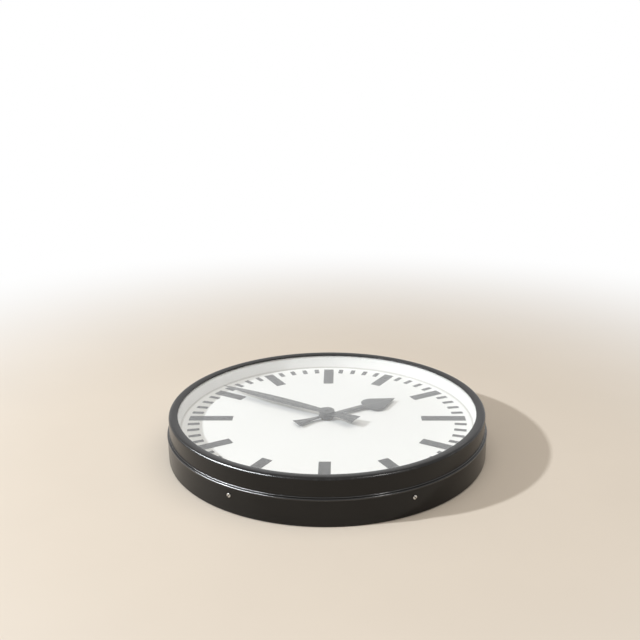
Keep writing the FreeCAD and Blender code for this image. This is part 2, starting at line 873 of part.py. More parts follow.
def yoke_screw(at):
    head = rod(dial_screw_head, magnet_foot - yoke_screw_head_height, magnet_foot, at)
    return head.fuse(rod(dial_screw_radius, magnet_foot, front_plate_top, at)).removeSplitter()


def coil_box(spread):
    half = yoke_width / 2 - yoke_leg - bobbin_gap
    return block(
        (rotor_at[0] - half, rotor_at[0] + half),
        (core_low - spread, core_low + core_height + spread),
        (magnet_foot - spread, magnet_head + spread))


def coil_bobbin():
    flange_box = coil_box(coil_spread)
    return flange_box.cut(coil_winding()).cut(coil_box(bobbin_gap))


def coil_winding():
    inner = coil_box(bobbin_gap + bobbin_wall)
    outer = coil_box(coil_spread)
    box = outer.BoundBox
    between = block(
        (box.XMin + bobbin_flange, box.XMax - bobbin_flange), (box.YMin, box.YMax), (box.ZMin, box.ZMax))
    return outer.common(between).cut(inner)


def terminal_places():
    half = terminal_pitch / 2
    row = terminal_depth / 4
    return [(x, terminal_along + y) for x in (-half, half) for y in (-row, row)]


def terminal_block():
    low, high = case_sheet, case_sheet + terminal_height
    body = block(
        (-terminal_width / 2, terminal_width / 2),
        (terminal_along - terminal_depth / 2, terminal_along + terminal_depth / 2), (low, high))
    groove = block(
        (-terminal_groove / 2, terminal_groove / 2),
        (terminal_along - terminal_depth / 2, terminal_along + terminal_depth / 2),
        (high - terminal_groove, high))
    holes = [rod(terminal_screw_shank + thread_gap, high - terminal_screw_length, high, at)
             for at in terminal_places()]
    return body.cut([groove] + holes)


def terminal_screw(at):
    seat = case_sheet + terminal_height
    head = rod(terminal_screw_radius, seat, seat + terminal_screw_height, at)
    return head.fuse(rod(terminal_screw_shank, seat - terminal_screw_length, seat, at)).removeSplitter()


def bent_wire(points, radius, bend):
    corners = [FreeCAD.Vector(*point) for point in points]
    edges = []
    last = corners[0]
    for before, corner, after in zip(corners, corners[1:], corners[2:]):
        back = (before - corner).normalize()
        ahead = (after - corner).normalize()
        half_bend = (math.pi - back.getAngle(ahead)) / 2
        start = corner + back * (bend * math.tan(half_bend))
        end = corner + ahead * (bend * math.tan(half_bend))
        middle = corner + (back + ahead).normalize() * (bend / math.cos(half_bend) - bend)
        edges += [Part.makeLine(last, start), Part.Arc(start, middle, end).toShape()]
        last = end
    edges.append(Part.makeLine(last, corners[-1]))
    ring = Part.Wire(Part.makeCircle(radius, corners[0], corners[1] - corners[0]))
    return Part.Wire(edges).makePipeShell([ring], True, False)


def coil_lead(side):
    start = (side * terminal_pitch / 2, terminal_along + terminal_depth / 2)
    coil = coil_box(coil_spread).BoundBox
    end_x = rotor_at[0] + start[0]
    rise_y = coil.YMin - lead_stand_off
    low = case_sheet + terminal_height / 2
    high = (magnet_foot + magnet_head) / 2
    points = [(*start, low), (start[0], start[1] + lead_start, low), (end_x, rise_y, low),
              (end_x, rise_y, high), (end_x, coil.YMin, high)]
    return bent_wire(points, lead_radius, lead_bend)


def group(maker, places):
    return Part.makeCompound([maker(at) for at in places])


clip_first = half_turn / clip_count

pieces = {
    "rear_case": rear_case(),
    "front_ring": front_ring(),
    "side_screws": around(side_screw(), side_screw_count, side_screw_first),
    "side_spacers": around(side_spacer(), side_screw_count, side_screw_first),
    "side_nuts": around(side_nut(), side_screw_count, side_screw_first),
    "hanger_plate": hanger_plate(),
    "hanger_rivets": group(hanger_rivet, rivet_places()),
    "cable_inlet": cable_inlet(),
    "glass_gasket": glass_gasket(),
    "glass_pane": rod(glass_radius, glass_foot, glass_top),
    "glass_clips": around(glass_clip(), clip_count, clip_first),
    "dial_ring": dial_ring(),
    "dial_plate": dial_plate(),
    "dial_pillars": group(dial_pillar, pillar_places()),
    "dial_screws": group(dial_screw, pillar_places()),
    "hour_markers": hour_markers(),
    "minute_markers": minute_markers(),
    "hour_hand": hour_hand(),
    "hour_hand_collet": hour_collet(),
    "minute_hand": minute_hand(),
    "minute_hand_collet": minute_collet(),
    "hand_nut": hand_nut(),
    "centre_arbor": centre_arbor(),
    "centre_wheel": centre_wheel(),
    "cannon_pinion": cannon_pinion(),
    "minute_wheel": minute_wheel(),
    "minute_wheel_stud": minute_stud(),
    "stud_clip": stud_clip(),
    "hour_wheel": hour_wheel(),
    "intermediate_arbor": inter_arbor(),
    "intermediate_wheel": inter_wheel(),
    "rotor_arbor": rotor_arbor(),
    "rotor_magnet": rotor_magnet(),
    "movement_back_plate": back_plate(),
    "movement_front_plate": front_plate(),
    "back_bushes": bushes(back_plate_foot, back_plate_top),
    "front_bushes": bushes(front_plate_foot, front_plate_top),
    "frame_pillars": group(frame_pillar, frame_corners()),
    "frame_posts": group(frame_post, frame_corners()),
    "frame_screws": group(frame_screw, frame_corners()),
    "stator_yoke": stator_yoke(),
    "yoke_spacers": group(yoke_spacer, yoke_screw_places()),
    "yoke_screws": group(yoke_screw, yoke_screw_places()),
    "coil_bobbin": coil_bobbin(),
    "coil_winding": coil_winding(),
    "terminal_block": terminal_block(),
    "terminal_screws": group(terminal_screw, terminal_places()),
    "coil_leads": group(coil_lead, (-1, 1)),
}

for name, shape in pieces.items():
    save(name, shape)
    print(name, len(shape.Solids), "solids", round(shape.Volume), "cubic mm", "valid", shape.isValid())
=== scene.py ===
import json
import math

import bmesh
import bpy
from mathutils import Matrix, Vector


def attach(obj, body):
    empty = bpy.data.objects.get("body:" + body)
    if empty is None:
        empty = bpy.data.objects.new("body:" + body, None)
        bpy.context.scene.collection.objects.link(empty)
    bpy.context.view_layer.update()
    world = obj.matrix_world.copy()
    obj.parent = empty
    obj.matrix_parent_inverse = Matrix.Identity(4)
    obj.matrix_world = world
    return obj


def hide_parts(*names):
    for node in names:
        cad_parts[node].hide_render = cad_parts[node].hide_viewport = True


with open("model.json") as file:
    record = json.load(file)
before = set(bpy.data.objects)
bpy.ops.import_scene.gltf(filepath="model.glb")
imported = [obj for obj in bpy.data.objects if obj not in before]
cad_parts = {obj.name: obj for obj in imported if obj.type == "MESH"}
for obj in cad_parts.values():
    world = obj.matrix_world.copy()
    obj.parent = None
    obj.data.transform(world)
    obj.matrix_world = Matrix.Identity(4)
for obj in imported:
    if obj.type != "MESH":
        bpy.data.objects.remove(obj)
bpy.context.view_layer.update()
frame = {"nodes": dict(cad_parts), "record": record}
nodes = frame["nodes"]
mm = 0.001
weldDistance = 1e-6  # in a node tree
doubleDistance = 1e-7  # in a mesh
print("frame loaded:", len(nodes), "nodes")


# ways to build node trees

def addNode(tree, kind, settings=None, inputs=None):
    node = tree.nodes.new(kind)
    for key, value in (settings or {}).items():
        setattr(node, key, value)
    for key, value in (inputs or {}).items():
        if isinstance(value, bpy.types.NodeSocket):
            tree.links.new(value, node.inputs[key])
        else:
            node.inputs[key].default_value = value
    return node


def sums(tree, operation, first, second=0.0):
    return addNode(tree, "ShaderNodeMath", {"operation": operation}, {0: first, 1: second}).outputs[0]


def newMaterial(name):
    mat = bpy.data.materials.new(name)
    mat.use_nodes = True
    tree = mat.node_tree
    return mat, tree, tree.nodes["Principled BSDF"]


def grey(value):
    return (value, value, value)


def addRamp(tree, fac, stops):
    ramp = addNode(tree, "ShaderNodeValToRGB", inputs={"Fac": fac})
    elements = ramp.color_ramp.elements
    while len(elements) < len(stops):
        elements.new(0.5)
    for element, (place, colour) in zip(elements, stops):
        element.position = place
        element.color = (*colour, 1)
    return ramp.outputs["Color"]


def rangeOf(tree, value, low, high, toLow, toHigh):
    return addNode(tree, "ShaderNodeMapRange", inputs={
        "Value": value, "From Min": low, "From Max": high, "To Min": toLow, "To Max": toHigh}).outputs["Result"]


def mixColour(tree, factor, first, second):
    node = addNode(tree, "ShaderNodeMix", {"data_type": "RGBA"})
    sockets = {socket.identifier: socket for socket in node.inputs}
    for key, value in (("Factor_Float", factor), ("A_Color", first), ("B_Color", second)):
        if isinstance(value, bpy.types.NodeSocket):
            tree.links.new(value, sockets[key])
        else:
            sockets[key].default_value = value if key == "Factor_Float" else (*value, 1)
    return next(socket for socket in node.outputs if socket.identifier == "Result_Color")


def newGroup(name, inputs, outputs):
    group = bpy.data.node_groups.new(name, "ShaderNodeTree")
    for label, value in inputs.items():
        socket = group.interface.new_socket(label, in_out="INPUT", socket_type="NodeSocketFloat")
        socket.default_value = value
    for label in outputs:
        group.interface.new_socket(label, in_out="OUTPUT", socket_type="NodeSocketFloat")
    return group, group.nodes.new("NodeGroupInput").outputs, group.nodes.new("NodeGroupOutput").inputs


def placeGroup(tree, group, values=None):
    node = addNode(tree, "ShaderNodeGroup", {"node_tree": group})
    for label, value in (values or {}).items():
        node.inputs[label].default_value = value
    return node.outputs


def objectCoords(tree):
    return addNode(tree, "ShaderNodeTexCoord").outputs["Object"]


def noiseAt(tree, coords, scale, detail=3.0, roughness=0.55):
    return addNode(tree, "ShaderNodeTexNoise", inputs={
        "Vector": coords, "Scale": scale, "Detail": detail, "Roughness": roughness}).outputs["Fac"]


# distance from the hand axis
def fromAxis(tree, coords):
    flat = addNode(tree, "ShaderNodeVectorMath", {"operation": "MULTIPLY"}, {0: coords, 1: (1, 1, 0)})
    length = addNode(tree, "ShaderNodeVectorMath", {"operation": "LENGTH"}, {0: flat.outputs["Vector"]})
    return length.outputs["Value"]


def linkFinish(tree, shader, colour, rough):
    tree.links.new(colour, shader.inputs["Base Color"])
    tree.links.new(rough, shader.inputs["Roughness"])


def bumpInto(tree, shader, height, strength, distance):
    bump = addNode(tree, "ShaderNodeBump", inputs={
        "Strength": strength, "Distance": distance, "Height": height})
    tree.links.new(bump.outputs["Normal"], shader.inputs["Normal"])


# effects shared by several finishes

def buildPaintSkin():
    group, given, result = newGroup("paintSkin", {"Peel Scale": 900.0, "Cloud Scale": 9.0}, ["Peel", "Cloud"])
    coords = objectCoords(group)
    group.links.new(noiseAt(group, coords, given["Peel Scale"]), result["Peel"])
    group.links.new(noiseAt(group, coords, given["Cloud Scale"], 5.0, 0.6), result["Cloud"])
    return group


def buildDustSpecks():
    group, given, result = newGroup(
        "dustSpecks", {"Speck Scale": 260.0, "Speck Size": 0.1, "Patch Scale": 14.0}, ["Mask"])
    coords = objectCoords(group)
    cells = addNode(group, "ShaderNodeTexVoronoi", inputs={"Vector": coords, "Scale": given["Speck Scale"]})
    dot = sums(group, "LESS_THAN", cells.outputs["Distance"], given["Speck Size"])
    patch = rangeOf(group, noiseAt(group, coords, given["Patch Scale"]), 0.5, 0.72, 0.0, 1.0)
    group.links.new(sums(group, "MULTIPLY", dot, patch), result["Mask"])
    return group


# broken mask along a turned edge, found by its radius and height: wear on the case's edges, polish on its beads,
# and the painted shade at the foot of the dial rim
def buildEdgeWearAndShade():
    group, given, result = newGroup("edgeWearAndShade", {
        "Edge Radius": 0.3, "Edge Height": 0.0, "Reach": 0.002, "Break Scale": 40.0, "Whole": 0.0}, ["Mask"])
    coords = objectCoords(group)
    height = addNode(group, "ShaderNodeSeparateXYZ", inputs={"Vector": coords}).outputs["Z"]
    sideways = sums(group, "SUBTRACT", fromAxis(group, coords), given["Edge Radius"])
    upwards = sums(group, "SUBTRACT", height, given["Edge Height"])
    squares = [sums(group, "MULTIPLY", offset, offset) for offset in (sideways, upwards)]
    away = sums(group, "DIVIDE", sums(group, "SQRT", sums(group, "ADD", *squares)), given["Reach"])
    near = rangeOf(group, away, 0.2, 1.0, 1.0, 0.0)
    broken = rangeOf(group, noiseAt(group, coords, given["Break Scale"], 6.0, 0.65), 0.5, 0.68, 0.0, 1.0)
    kept = sums(group, "MAXIMUM", broken, given["Whole"])
    group.links.new(sums(group, "MULTIPLY", near, kept), result["Mask"])
    return group


# fine lines left by the tool on turned and drawn metal
def buildTurnedLines():
    group, given, result = newGroup("turnedLines", {"Line Scale": 1400.0}, ["Lines"])
    stretched = addNode(group, "ShaderNodeMapping", inputs={
        "Vector": objectCoords(group), "Scale": (1.0, 1.0, 0.12)})
    group.links.new(noiseAt(group, stretched.outputs["Vector"], given["Line Scale"], 2.0), result["Lines"])
    return group


# lighter line along the fold of a hand, a line through the axis at the hand's clock angle: painted highlight of
# the ridge, and lacquer rubbed thin
def buildFoldHighlightAndWear():
    group, given, result = newGroup("foldHighlightAndWear", {
        "Clock Angle": 0.0, "Half Width": 0.001, "Break Scale": 60.0}, ["Mask"])
    coords = objectCoords(group)
    place = addNode(group, "ShaderNodeSeparateXYZ", inputs={"Vector": coords}).outputs
    alongX = sums(group, "MULTIPLY", place["X"], sums(group, "COSINE", given["Clock Angle"]))
    alongY = sums(group, "MULTIPLY", place["Y"], sums(group, "SINE", given["Clock Angle"]))
    offLine = sums(group, "ABSOLUTE", sums(group, "SUBTRACT", alongX, alongY))
    near = rangeOf(group, sums(group, "DIVIDE", offLine, given["Half Width"]), 0.3, 1.0, 1.0, 0.0)
    broken = rangeOf(group, noiseAt(group, coords, given["Break Scale"], 5.0), 0.35, 0.6, 0.35, 1.0)
    group.links.new(sums(group, "MULTIPLY", near, broken), result["Mask"])
    return group


paintSkin = buildPaintSkin()
dustSpecks = buildDustSpecks()
edgeWearAndShade = buildEdgeWearAndShade()
turnedLines = buildTurnedLines()
foldHighlightAndWear = buildFoldHighlightAndWear()


# mask along a turned edge, sizes in mm; whole is the share that never breaks up
def edgeMask(tree, radius, height, reach, whole=0.0):
    return placeGroup(tree, edgeWearAndShade, {
        "Edge Radius": radius * mm, "Edge Height": height * mm, "Reach": reach * mm, "Whole": whole})["Mask"]


# finishes

caseFinish = {
    "dark": (0.0055, 0.005, 0.0045), "light": (0.011, 0.0099, 0.009),
    "dust": (0.05, 0.046, 0.042), "bare": (0.04, 0.039, 0.038),
    "roughLow": 0.19, "roughHigh": 0.27, "gloss": 0.30, "peelBump": 0.06, "peelDepth": 0.0004,
    # radius, height and reach of each worn edge and polished bead, in mm
    "edges": [(307.7, 89.2, 1.5), (312.2, 86.6, 2.2), (317.3, 50.3, 1.2), (316.2, 0.6, 2.4)],
    "beads": [(314.1, 53.116, 2.2), (316.5, 50.3, 2.0)], "beadWhole": 0.8, "polish": 0.1,
}


def makeCasePaint():
    mat, tree, shader = newMaterial("satinBlackPaint")
    skin = placeGroup(tree, paintSkin, {"Peel Scale": 720.0, "Cloud Scale": 7.0})
    specks = placeGroup(tree, dustSpecks, {"Speck Scale": 190.0, "Speck Size": 0.09})
    colour = addRamp(tree, skin["Cloud"], [(0.3, caseFinish["dark"]), (0.75, caseFinish["light"])])
    for edge in caseFinish["edges"]:
        colour = mixColour(tree, edgeMask(tree, *edge), colour, caseFinish["bare"])
    colour = mixColour(tree, specks["Mask"], colour, caseFinish["dust"])
    rough = rangeOf(tree, skin["Cloud"], 0.3, 0.7, caseFinish["roughLow"], caseFinish["roughHigh"])
    linkFinish(tree, shader, colour, rough)
    shader.inputs["Specular IOR Level"].default_value = caseFinish["gloss"]
    polished = 0.0
    for bead in caseFinish["beads"]:  # hands and cloths polish the beads
        polished = sums(tree, "MAXIMUM", edgeMask(tree, *bead, caseFinish["beadWhole"]), polished)
    tree.links.new(polished, shader.inputs["Coat Weight"])
    shader.inputs["Coat Roughness"].default_value = caseFinish["polish"]
    bumpInto(tree, shader, skin["Peel"], caseFinish["peelBump"], caseFinish["peelDepth"])
    return mat


dialFinish = {
    "dial": {"pale": (0.905, 0.905, 0.895), "deep": (0.88, 0.878, 0.862), "roughness": 0.45},
    "rim": {"pale": (0.89, 0.886, 0.87), "deep": (0.855, 0.848, 0.826), "roughness": 0.5},
    "speck": (0.52, 0.49, 0.44), "roughSpread": 0.05, "peelBump": 0.03, "peelDepth": 0.0003,
    # painted shade in the corner at the rim's foot, where the rim meets the dial: radius, height, reach in mm, and
    # the share that is whole
    "corner": (291.0, 54.3, 4.0, 0.7), "cornerShade": (0.46, 0.435, 0.395),
}


def makeLacquer(name, finish):
    mat, tree, shader = newMaterial(name)
    skin = placeGroup(tree, paintSkin, {"Peel Scale": 420.0, "Cloud Scale": 5.0})
    specks = placeGroup(tree, dustSpecks, {"Speck Scale": 120.0, "Speck Size": 0.05, "Patch Scale": 9.0})
    colour = addRamp(tree, skin["Cloud"], [(0.3, finish["deep"]), (0.7, finish["pale"])])
    colour = mixColour(tree, specks["Mask"], colour, dialFinish["speck"])
    # painted shade along the corner where the rim meets the dial
    colour = mixColour(tree, edgeMask(tree, *dialFinish["corner"]), colour, dialFinish["cornerShade"])
    spread = dialFinish["roughSpread"]
    rough = rangeOf(tree, skin["Peel"], 0.3, 0.7, finish["roughness"] - spread, finish["roughness"] + spread)
    linkFinish(tree, shader, colour, rough)
    bumpInto(tree, shader, skin["Peel"], dialFinish["peelBump"], dialFinish["peelDepth"])
    return mat


blackFinish = {
    "print": {"black": grey(0.020), "worn": grey(0.040), "roughness": 0.5},
    "hand": {"black": grey(0.016), "worn": grey(0.032), "roughness": 0.36},
    "speck": grey(0.14), "roughSpread": 0.08, "peelBump": 0.06, "peelDepth": 0.0002,
    # the fold colour is a painted highlight along each hand's ridge, and also lacquer rubbed thin
    "fold": {"colour": (0.34, 0.335, 0.32), "halfWidth": 0.9, "clock": {"hour_hand": 58.0, "minute_hand": 302.1}},
}


def makeBlack(name, finish, foldClock=None):
    mat, tree, shader = newMaterial(name)
    skin = placeGroup(tree, paintSkin, {"Peel Scale": 800.0, "Cloud Scale": 22.0})
    specks = placeGroup(tree, dustSpecks, {"Speck Scale": 300.0, "Speck Size": 0.07, "Patch Scale": 20.0})
    colour = addRamp(tree, skin["Cloud"], [(0.35, finish["black"]), (0.72, finish["worn"])])
    colour = mixColour(tree, specks["Mask"], colour, blackFinish["speck"])
    if foldClock is not None:
        # painted highlight along the fold's ridge, and also lacquer rubbed thin
        fold = placeGroup(tree, foldHighlightAndWear, {
            "Clock Angle": math.radians(foldClock), "Half Width": blackFinish["fold"]["halfWidth"] * mm})
        colour = mixColour(tree, fold["Mask"], colour, blackFinish["fold"]["colour"])
    spread = blackFinish["roughSpread"]
    rough = rangeOf(tree, skin["Cloud"], 0.3, 0.7, finish["roughness"] - spread, finish["roughness"] + spread)
    linkFinish(tree, shader, colour, rough)
    bumpInto(tree, shader, skin["Peel"], blackFinish["peelBump"], blackFinish["peelDepth"])
    return mat


metalFinish = {
    "nickelScrew": {"dark": (0.46, 0.445, 0.42), "light": (0.70, 0.685, 0.65), "roughness": 0.27},
    "zincSteel": {"dark": (0.46, 0.47, 0.48), "light": (0.62, 0.62, 0.60), "roughness": 0.38},
    "turnedBrass": {"dark": (0.30, 0.215, 0.095), "light": (0.50, 0.375, 0.175), "roughness": 0.36},
    "arborSteel": {"dark": (0.40, 0.40, 0.41), "light": (0.58, 0.58, 0.58), "roughness": 0.28},
    "statorIron": {"dark": (0.10, 0.10, 0.105), "light": (0.2, 0.2, 0.205), "roughness": 0.5},
    "copperWire": {"dark": (0.42, 0.16, 0.06), "light": (0.65, 0.30, 0.13), "roughness": 0.35},
}
metalLines = {"smoother": 0.06, "rougher": 0.08, "bump": 0.08, "depth": 0.0001}
# colour and fade, in mm, of the painted shade in the slots and round the feet of the side screws
screwShade = {"colour": (0.02, 0.017, 0.014), "fade": 0.4}


# painted shade, darker below the given radius, in the slots and round the feet of the side screws
def makeMetal(name, shadeRadius=None):
    finish = metalFinish[name]
    mat, tree, shader = newMaterial(name)
    lines = placeGroup(tree, turnedLines)
    skin = placeGroup(tree, paintSkin, {"Cloud Scale": 60.0})
    colour = addRamp(tree, skin["Cloud"], [(0.3, finish["dark"]), (0.7, finish["light"])])
    # painted shade: the colour goes darker below the given radius
    if shadeRadius:
        shadeEnd = shadeRadius + screwShade["fade"]
        shaded = rangeOf(tree, fromAxis(tree, objectCoords(tree)), shadeRadius * mm, shadeEnd * mm, 1.0, 0.0)
        colour = mixColour(tree, shaded, colour, screwShade["colour"])
    rough = rangeOf(tree, lines["Lines"], 0.3, 0.7,
                    finish["roughness"] - metalLines["smoother"], finish["roughness"] + metalLines["rougher"])
    linkFinish(tree, shader, colour, rough)
    shader.inputs["Metallic"].default_value = 1.0
    bumpInto(tree, shader, lines["Lines"], metalLines["bump"], metalLines["depth"])
    return mat


mouldedFinish = {
    "sealRubber": {"dark": grey(0.02), "light": grey(0.035), "roughness": 0.7},
    "mouldedBrown": {"dark": (0.05, 0.028, 0.016), "light": (0.085, 0.048, 0.028), "roughness": 0.4},
}
mouldedSkin = {"roughSpread": 0.1, "peelBump": 0.1, "peelDepth": 0.0003}


def makeMoulded(name):
    finish = mouldedFinish[name]
    mat, tree, shader = newMaterial(name)
    skin = placeGroup(tree, paintSkin, {"Peel Scale": 1100.0, "Cloud Scale": 30.0})
    colour = addRamp(tree, skin["Cloud"], [(0.3, finish["dark"]), (0.7, finish["light"])])
    spread = mouldedSkin["roughSpread"]
    rough = rangeOf(tree, skin["Peel"], 0.0, 1.0, finish["roughness"] - spread, finish["roughness"] + spread)
    linkFinish(tree, shader, colour, rough)
    bumpInto(tree, shader, skin["Peel"], mouldedSkin["peelBump"], mouldedSkin["peelDepth"])
    return mat


glassFinish = {"tint": (0.985, 0.995, 0.99), "ior": 1.56, "smear": 0.012, "straight": grey(0.985)}


def makeGlass():
    mat, tree, shader = newMaterial("windowGlass")
    shader.inputs["Base Color"].default_value = (*glassFinish["tint"], 1)
    shader.inputs["Transmission Weight"].default_value = 1.0
    shader.inputs["IOR"].default_value = glassFinish["ior"]
    skin = placeGroup(tree, paintSkin, {"Cloud Scale": 6.0})
    smear = rangeOf(tree, skin["Cloud"], 0.45, 0.8, 0.0, glassFinish["smear"])
    tree.links.new(smear, shader.inputs["Roughness"])
    # light for the dial goes straight through, so that it is counted once
    path = addNode(tree, "ShaderNodeLightPath")
    clear = addNode(tree, "ShaderNodeBsdfTransparent", inputs={"Color": (*glassFinish["straight"], 1)})
    straight = sums(tree, "MAXIMUM", path.outputs["Is Shadow Ray"], path.outputs["Is Diffuse Ray"])
    choose = addNode(tree, "ShaderNodeMixShader", inputs={
        "Fac": straight, 1: shader.outputs["BSDF"], 2: clear.outputs["BSDF"]})
    tree.links.new(choose.outputs["Shader"], tree.nodes["Material Output"].inputs["Surface"])
    return mat


finishes = {
    "case_paint": makeCasePaint(),
    "dial_white": makeLacquer("dialLacquer", dialFinish["dial"]),
    "mark_black": makeBlack("printedBlack", blackFinish["print"]),
    "hand_black": makeBlack("handLacquer", blackFinish["hand"]),
    "window_glass": makeGlass(),
    "seal_rubber": makeMoulded("sealRubber"),
    "nickel_screw": makeMetal("nickelScrew"),
    "zinc_steel": makeMetal("zincSteel"),
    "brass": makeMetal("turnedBrass"),
    "arbor_steel": makeMetal("arborSteel"),
    "stator_iron": makeMetal("statorIron"),
    "winding_copper": makeMetal("copperWire"),
    "insulator": makeMoulded("mouldedBrown"),
}
ownFinish = {"dial_ring": makeLacquer("rimLacquer", dialFinish["rim"])}
for hand, clock in blackFinish["fold"]["clock"].items():
    ownFinish[hand] = makeBlack(hand + "Lacquer", blackFinish["hand"], clock)
print("finishes made:", len(finishes) + len(ownFinish))


# nodes that keep their shape: the finish of their slot, round faces smooth, folded edges crisp

creaseAngle = math.radians(32)
handEdges = {
    "nodes": ["hour_hand", "minute_hand", "hour_hand_collet", "minute_hand_collet"],
    "crease": math.radians(2), "bevel": 0.22 * mm, "segments": 2,
    "flatAngle": math.radians(0.5), "bevelAngle": math.radians(30),
}


def buildSmoothFaces():
    group = bpy.data.node_groups.new("smoothFaces", "GeometryNodeTree")
    group.is_modifier = True
    group.interface.new_socket("Geometry", in_out="INPUT", socket_type="NodeSocketGeometry")
    crease = group.interface.new_socket("Crease Angle", in_out="INPUT", socket_type="NodeSocketFloat")
    crease.default_value = creaseAngle
    group.interface.new_socket("Geometry", in_out="OUTPUT", socket_type="NodeSocketGeometry")
    given = group.nodes.new("NodeGroupInput").outputs
    result = group.nodes.new("NodeGroupOutput").inputs
    weld = addNode(group, "GeometryNodeMergeByDistance", inputs={
        "Geometry": given["Geometry"], "Distance": weldDistance})
    soft = addNode(group, "GeometryNodeSetShadeSmooth", {"domain": "FACE"}, {"Geometry": weld.outputs["Geometry"]})
    angle = addNode(group, "GeometryNodeInputMeshEdgeAngle").outputs["Unsigned Angle"]
    sharp = addNode(group, "FunctionNodeCompare", {"operation": "GREATER_THAN"}, {
        0: angle, 1: given["Crease Angle"]})
    crisp = addNode(group, "GeometryNodeSetShadeSmooth", {"domain": "EDGE"}, {
        "Geometry": soft.outputs["Geometry"], "Selection": sharp.outputs["Result"], "Shade Smooth": False})
    group.links.new(crisp.outputs["Geometry"], result["Geometry"])
    return group, crease.identifier


smoothFaces, creaseInput = buildSmoothFaces()
slotOfNode = {part["node"]: part["material_slot"] for part in frame["record"]["subparts"]}


def dressNode(name, node):
    node.data.materials.clear()
    node.data.materials.append(ownFinish.get(name, finishes[slotOfNode[name]]))
    onHand = name in handEdges["nodes"]
    weld = node.modifiers.new("smoothFaces", "NODES")
    weld.node_group = smoothFaces
    weld[creaseInput] = handEdges["crease"] if onHand else creaseAngle
    if onHand:
        flat = node.modifiers.new("joinFlats", "DECIMATE")
        flat.decimate_type = "DISSOLVE"
        flat.angle_limit = handEdges["flatAngle"]
        edge = node.modifiers.new("softEdges", "BEVEL")
        edge.width = handEdges["bevel"]
        edge.segments = handEdges["segments"]
        edge.angle_limit = handEdges["bevelAngle"]
    even = node.modifiers.new("evenShade", "WEIGHTED_NORMAL")
    even.keep_sharp = True


for nodeName, node in nodes.items():
    dressNode(nodeName, node)
print("finishes on nodes:", len(nodes))


# ways to make pieces

def linkPiece(name, mesh, finish=None):
    piece = bpy.data.objects.new(name, mesh)
    bpy.context.scene.collection.objects.link(piece)
    if finish:
        mesh.materials.append(finish)
    return piece


def meshFrom(shape, name):
    bmesh.ops.remove_doubles(shape, verts=shape.verts, dist=doubleDistance)
    bmesh.ops.recalc_face_normals(shape, faces=shape.faces)
    mesh = bpy.data.meshes.new(name)
    shape.to_mesh(mesh)
    shape.free()
    mesh.shade_smooth()
    mesh.set_sharp_from_angle(angle=creaseAngle)
    return mesh


# turns a section of (radius, height) points round the z axis
def turnSection(section, steps, closed):
    shape = bmesh.new()
    rings = []
    for step in range(steps):
        turn = 2 * math.pi * step / steps
        rings.append([shape.verts.new((r * math.cos(turn), r * math.sin(turn), z)) for r, z in section])
    last = len(section) if closed else len(section) - 1
    for step in range(steps):
        here, there = rings[step], rings[(step + 1) % steps]
        for place in range(last):
            after = (place + 1) % len(section)
            shape.faces.new([here[place], there[place], there[after], here[after]])
    return shape


def arcPoints(centre, radius, start, end, count):
    turns = [math.radians(start + (end - start) * step / (count - 1)) for step in range(count)]
    return [(centre[0] + radius * math.cos(turn), centre[1] + radius * math.sin(turn)) for turn in turns]


# result of a tree as a plain mesh, with its named inputs set before it is first evaluated
def growPiece(name, tree, values):
    piece = bpy.data.objects.new(name, bpy.data.meshes.new(name + "Seed"))
    grow = piece.modifiers.new("grow", "NODES")
    grow.node_group = tree
    for item in tree.interface.items_tree:
        if item.in_out == "INPUT" and item.name in values:
            grow[item.identifier] = values[item.name]
    bpy.context.scene.collection.objects.link(piece)
    mesh = bpy.data.meshes.new_from_object(piece.evaluated_get(bpy.context.evaluated_depsgraph_get()))
    piece.modifiers.clear()
    piece.data = mesh
    mesh.name = name
    return piece


def newGrower(name, inputs):
    tree = bpy.data.node_groups.new(name, "GeometryNodeTree")
    tree.is_modifier = True
    tree.interface.new_socket("Geometry", in_out="OUTPUT", socket_type="NodeSocketGeometry")
    for label, kind in inputs.items():
        tree.interface.new_socket(label, in_out="INPUT", socket_type="NodeSocket" + kind)
    return tree, tree.nodes.new("NodeGroupInput").outputs, tree.nodes.new("NodeGroupOutput").inputs


def finishGrower(tree, given, result, geometry):
    real = addNode(tree, "GeometryNodeRealizeInstances", inputs={"Geometry": geometry})
    painted = addNode(tree, "GeometryNodeSetMaterial", inputs={
        "Geometry": real.outputs["Geometry"], "Material": given["Finish"]})
    tree.links.new(painted.outputs["Geometry"], result["Geometry"])


# front ring, turned from one section so that its bead and rounded edge take clean lights

ringShape = {
    "outer": 312.7, "inner": 311.2, "foot": 24.0, "crown": 89.2, "corner": 5.0, "sheet": 1.5,
    "sight": 295.0, "fall": 1.7, "lipRound": 0.5, "lipDrop": 0.425, "bead": 1.4, "beadHeight": 53.116,
    "flatBelow": 1.5, "flatAbove": 1.0, "crownSteps": 8, "steps": 288,
}


